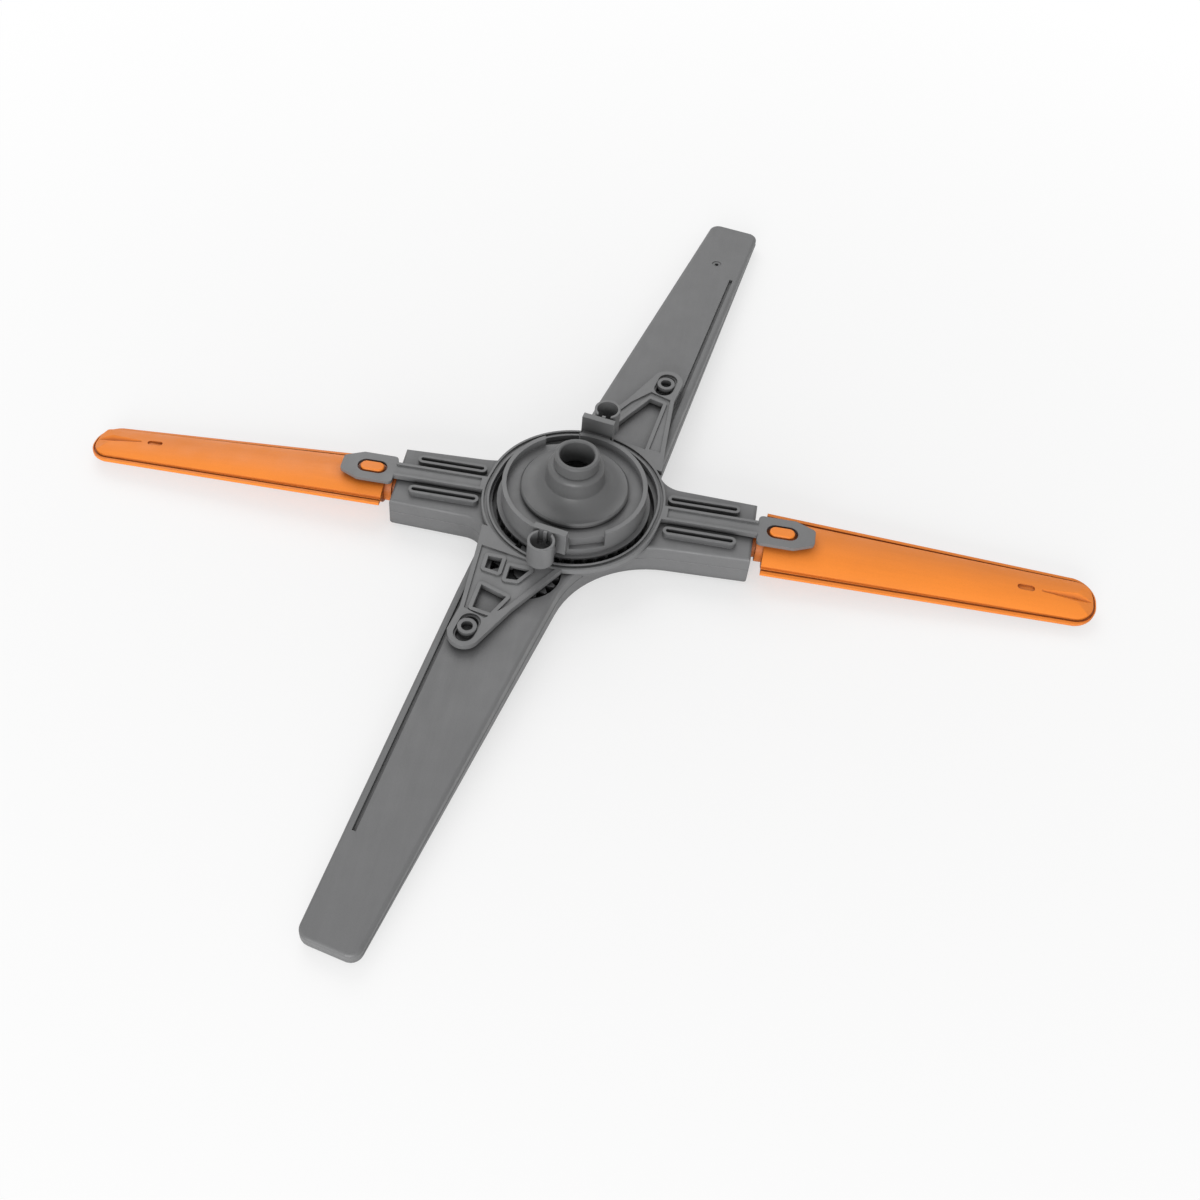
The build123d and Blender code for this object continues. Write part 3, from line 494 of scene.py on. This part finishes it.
def add_lips(name, places, tree, body):
    """Set nozzle lips at the places and let them ride on a body."""
    settings = fitting_settings()
    mesh = bpy.data.meshes.new(name)
    mesh.from_pydata(places, [], [])
    lips = add_object(name, mesh)
    bake_tree(lips, tree, {"Lip radius": settings.lip_radius, "Lip thickness": settings.lip_thickness})
    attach(lips, body)


def meeting_point(first, second):
    """Point where two straight lines of the plan meet."""
    return intersect_line_line(*first, *second)[0]


def seam_path(angle, settings):
    """Points of the weld round one main arm, from bridge to bridge, each with the round of its corner."""
    root, tip = SEAM_HEIGHT
    sink = settings.bead_sink
    lean = [edge - sink for edge in LEAN_EDGE]
    wide = [edge + sink for edge in WIDE_EDGE]
    half = [edge - sink for edge in BRIDGE_HALF]
    tip_end = MAIN_END - settings.bead_radius
    turn = angle - MAIN_ANGLES[0]
    right_end = along_arm(turn, BRIDGE_END - sink, half[1], root)
    left_end = along_arm(turn + math.pi, BRIDGE_END - sink, -half[1], root)
    right_root = along_arm(angle, MAIN_START, wide[0], root)
    left_root = along_arm(angle, MAIN_START, lean[0], root)
    right_tip = along_arm(angle, tip_end, wide[1], tip)
    left_tip = along_arm(angle, tip_end, lean[1], tip)
    right_edge = (right_root, along_arm(angle, MAIN_END, wide[1], root))
    left_edge = (left_root, along_arm(angle, MAIN_END, lean[1], root))
    right_corner = meeting_point((along_arm(turn, 0.0, half[0], root), right_end), right_edge)
    left_corner = meeting_point((along_arm(turn + math.pi, 0.0, -half[0], root), left_end), left_edge)
    return (
        (right_end, 0.0), (right_corner, WIDE_ROUND), (right_root, 0.0), (right_tip, TIP_ROUND),
        (left_tip, TIP_ROUND), (left_root, 0.0), (left_corner, LEAN_ROUND), (left_end, 0.0),
    )


class SPRAYARM_OT_body(bpy.types.Operator):
    """Give the two body shells and the cap their grey plastics"""

    bl_idname = "spray_arm.body"
    bl_label = "Finish the body"

    def execute(self, context):
        settings = finish_settings()
        grey = settings.body_colour
        dark = settings.cap_colour
        # deep is the colour of the shade painted where surfaces lie close
        body = moulded_plastic(
            "Grey body plastic", grey, deep=shade(grey, 0.2), roughness=0.46, grain_depth=0.00012, wear=0.5,
            along=STREAKS_ALONG_Y, plain=0.92,
        )
        cap = moulded_plastic(
            "Dark cap plastic", dark, deep=shade(dark, 0.4), roughness=0.5, grain_depth=0.00012, wear=0.4,
            along=CAP_STREAKS,
        )
        give_material(BODY_NODES, body)
        give_material(("centre_cap",), cap)
        return {"FINISHED"}


class SPRAYARM_OT_drive(bpy.types.Operator):
    """Give the hub, the gears, the link frame and the flow disc their plastics"""

    bl_idname = "spray_arm.drive"
    bl_label = "Finish the drive"

    def execute(self, context):
        settings = finish_settings()
        for nodes, name, colour, roughness in (
            (DRIVE_NODES, "Grey drive plastic", settings.drive_colour, 0.44),
            (("inlet_hub",), "Grey hub plastic", settings.hub_colour, 0.42),
            (("crank_gear",), "Dark crank plastic", settings.crank_colour, 0.4),
            (("flow_disc",), "White disc plastic", settings.disc_colour, 0.35),
        ):
            # deep is the colour of the shade painted where surfaces lie close
            plastic = moulded_plastic(
                name, colour, deep=shade(colour, 0.2), roughness=roughness, grain_depth=0.0001, wear=0.5,
                along=DRIVE_STREAKS, plain=0.76,
            )
            give_material(nodes, plastic)
        return {"FINISHED"}


class SPRAYARM_OT_blades(bpy.types.Operator):
    """Give the swinging arms their orange plastic"""

    bl_idname = "spray_arm.blades"
    bl_label = "Finish the swinging arms"

    def execute(self, context):
        colour = finish_settings().blade_colour
        # red is the colour of the shade painted where surfaces of the orange arms lie close
        red = tuple(channel * tone for channel, tone in zip(colour, ORANGE_PAINTED_SHADE_TONES))
        orange = moulded_plastic(
            "Orange arm plastic", colour, deep=red, roughness=0.5, grain_depth=0.00006, wear=0.2,
            along=STREAKS_ALONG_X, plain=0.92,
        )
        give_material(BLADE_NODES, orange)
        return {"FINISHED"}


class SPRAYARM_OT_nozzles(bpy.types.Operator):
    """Set the round lips of all spray nozzles"""

    bl_idname = "spray_arm.nozzles"
    bl_label = "Set the nozzle lips"

    def execute(self, context):
        settings = fitting_settings()
        grey = lip_tree(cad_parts["arm_nozzle_shell"].material_slots[0].material)
        orange = lip_tree(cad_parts["right_blade_front"].material_slots[0].material)
        main_length = MAIN_END - MAIN_START
        blade_length = BLADE_END - BLADE_START
        keel_root, keel_tip = KEEL_HEIGHT
        places = [
            along_arm(angle, MAIN_START + share * main_length, aside, settings.lip_thickness)
            for angle in MAIN_ANGLES
            for share, aside in MAIN_NOZZLES
        ]
        add_lips("body_nozzle_lips", places, grey, "body")
        for body, angle in (("right_arm", 0.0), ("left_arm", math.pi)):
            places = []
            for share in BLADE_NOZZLES:
                height = keel_root + share * (keel_tip - keel_root)
                places.append(along_arm(angle, BLADE_START + share * blade_length, 0.0, height))
            add_lips(f"{body}_nozzle_lips", places, orange, body)
        return {"FINISHED"}


class SPRAYARM_OT_seam(bpy.types.Operator):
    """Lay the weld bead between the two body shells"""

    bl_idname = "spray_arm.seam"
    bl_label = "Lay the weld bead"

    def execute(self, context):
        settings = fitting_settings()
        tree = bead_tree(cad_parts["arm_lower_shell"].material_slots[0].material)
        points = []
        lines = []
        for angle in MAIN_ANGLES:
            path = seam_path(angle, settings)
            start = len(points)
            points.extend(path)
            lines.extend((start + step, start + step + 1) for step in range(len(path) - 1))
        mesh = bpy.data.meshes.new("body_weld_bead")
        mesh.from_pydata([point for point, corner in points], lines, [])
        rounds = mesh.attributes.new("corner_round", "FLOAT", "POINT")
        rounds.data.foreach_set("value", [corner for point, corner in points])
        bead = add_object("body_weld_bead", mesh)
        bake_tree(bead, tree, {"Bead radius": settings.bead_radius})
        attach(bead, "body")
        return {"FINISHED"}


def seen_share(tree):
    """Value that is 1 for what is seen, straight or in a gloss, and 0 for light that is thrown on."""
    path = tree.nodes.new("ShaderNodeLightPath")
    seen = combine(tree, "MAXIMUM", path.outputs["Is Camera Ray"], path.outputs["Is Glossy Ray"])
    return combine(tree, "MAXIMUM", seen, path.outputs["Is Transmission Ray"])


def add_floor(settings):
    """Pale floor that keeps a faint shadow of the part and is seen as plain white farther out."""
    half = settings.floor_size / 2
    mesh = bpy.data.meshes.new("Floor")
    low = -settings.floor_gap
    corners = [(-half, -half, low), (half, -half, low), (half, half, low), (-half, half, low)]
    mesh.from_pydata(corners, [], [(0, 1, 2, 3)])
    floor = add_object("Floor", mesh)
    material, shader = new_material("Pale floor")
    shader.inputs["Roughness"].default_value = 0.9
    shader.inputs["Specular IOR Level"].default_value = 0.0
    tree = material.node_tree
    seen = seen_share(tree)
    tint = blend_colour(tree, seen, settings.floor_colour, WHITE)
    tree.links.new(tint, shader.inputs["Base Color"])
    glow = tree.nodes.new("ShaderNodeEmission")
    glow.inputs["Color"].default_value = (*WHITE, 1.0)
    glow.inputs["Strength"].default_value = 1.0
    reach = tree.nodes.new("ShaderNodeVectorMath")
    reach.operation = "LENGTH"
    tree.links.new(tree.nodes.new("ShaderNodeTexCoord").outputs["Object"], reach.inputs[0])
    lift = span_map(
        tree, reach.outputs["Value"], settings.floor_lift, 1.0,
        from_low=settings.floor_near, from_high=settings.floor_fade,
    )
    mixed = tree.nodes.new("ShaderNodeMixShader")
    tree.links.new(combine(tree, "MULTIPLY", seen, lift), mixed.inputs["Fac"])
    tree.links.new(shader.outputs["BSDF"], mixed.inputs[1])
    tree.links.new(glow.outputs["Emission"], mixed.inputs[2])
    output = next(node for node in tree.nodes if node.type == "OUTPUT_MATERIAL")
    tree.links.new(mixed.outputs["Shader"], output.inputs["Surface"])
    mesh.materials.append(material)


def add_lamp(name, place, size, power):
    """Soft square lamp that looks at the middle of the part."""
    lamp = bpy.data.lights.new(name, "AREA")
    lamp.size = size
    lamp.energy = power
    light = add_object(name, lamp)
    light.location = place
    light.rotation_euler = Vector(place).to_track_quat("Z", "Y").to_euler()


def add_sky(settings):
    """Even light from all round that is seen as white."""
    world = bpy.data.worlds.new("Studio sky")
    world.use_nodes = True
    tree = world.node_tree
    background = tree.nodes["Background"]
    background.inputs["Color"].default_value = (*WHITE, 1.0)
    strength = span_map(tree, seen_share(tree), settings.sky, 1.0, from_low=0.0, from_high=1.0)
    tree.links.new(strength, background.inputs["Strength"])
    bpy.context.scene.world = world


def add_camera(settings):
    """Camera of the photograph, with its picture shifted off its axis."""
    lens = bpy.data.cameras.new("Camera")
    lens.sensor_width = FILM_WIDTH
    lens.lens = settings.lens
    lens.shift_x, lens.shift_y = settings.shift
    lens.clip_start = NEAREST
    camera = add_object("Camera", lens)
    away = Vector((
        math.sin(settings.azimuth) * math.cos(settings.elevation),
        -math.cos(settings.azimuth) * math.cos(settings.elevation),
        math.sin(settings.elevation),
    ))
    camera.location = Vector(settings.aim) + away * settings.distance
    camera.rotation_euler = away.to_track_quat("Z", "Y").to_euler()
    bpy.context.scene.camera = camera


class SPRAYARM_OT_stage(bpy.types.Operator):
    """Set the pale floor, the soft lamps, the sky and the camera of the photograph"""

    bl_idname = "spray_arm.stage"
    bl_label = "Set the stage"

    def execute(self, context):
        settings = context.scene.spray_arm_stage
        add_floor(settings)
        add_lamp("Key lamp", place=(-0.6, 1.2, 1.4), size=1.4, power=11.0)
        add_lamp("Front lamp", place=(-0.1, -2.4, 0.55), size=1.6, power=52.0)
        add_sky(settings)
        add_camera(settings)
        context.scene.view_settings.view_transform = "Standard"
        return {"FINISHED"}


class SPRAYARM_PT_panel(bpy.types.Panel):
    """Spray arm pieces and settings"""

    bl_label = "Spray arm"
    bl_idname = "SPRAYARM_PT_panel"
    bl_space_type = "VIEW_3D"
    bl_region_type = "UI"
    bl_category = "Spray arm"

    def draw(self, context):
        layout = self.layout
        scene = context.scene
        for settings in (scene.spray_arm_finish, scene.spray_arm_fittings, scene.spray_arm_stage):
            box = layout.box()
            for name in settings.__annotations__:
                box.prop(settings, name)
        for operator in OPERATORS:
            layout.operator(operator.bl_idname)


OPERATORS = (
    SPRAYARM_OT_body, SPRAYARM_OT_drive, SPRAYARM_OT_blades,
    SPRAYARM_OT_nozzles, SPRAYARM_OT_seam, SPRAYARM_OT_stage,
)
CLASSES = (SprayArmFinish, SprayArmFittings, SprayArmStage, *OPERATORS, SPRAYARM_PT_panel)


def register():
    """Register the classes and put their settings on the scene."""
    for item in CLASSES:
        bpy.utils.register_class(item)
    bpy.types.Scene.spray_arm_finish = bpy.props.PointerProperty(type=SprayArmFinish)
    bpy.types.Scene.spray_arm_fittings = bpy.props.PointerProperty(type=SprayArmFittings)
    bpy.types.Scene.spray_arm_stage = bpy.props.PointerProperty(type=SprayArmStage)


def unregister():
    """Take the settings off the scene and unregister the classes."""
    del bpy.types.Scene.spray_arm_stage
    del bpy.types.Scene.spray_arm_fittings
    del bpy.types.Scene.spray_arm_finish
    for item in reversed(CLASSES):
        bpy.utils.unregister_class(item)


def main():
    """Make the looks in order."""
    register()
    bpy.ops.spray_arm.body()
    bpy.ops.spray_arm.drive()
    bpy.ops.spray_arm.blades()
    bpy.ops.spray_arm.nozzles()
    bpy.ops.spray_arm.seam()
    bpy.ops.spray_arm.stage()


if __name__ == "__main__":
    main()
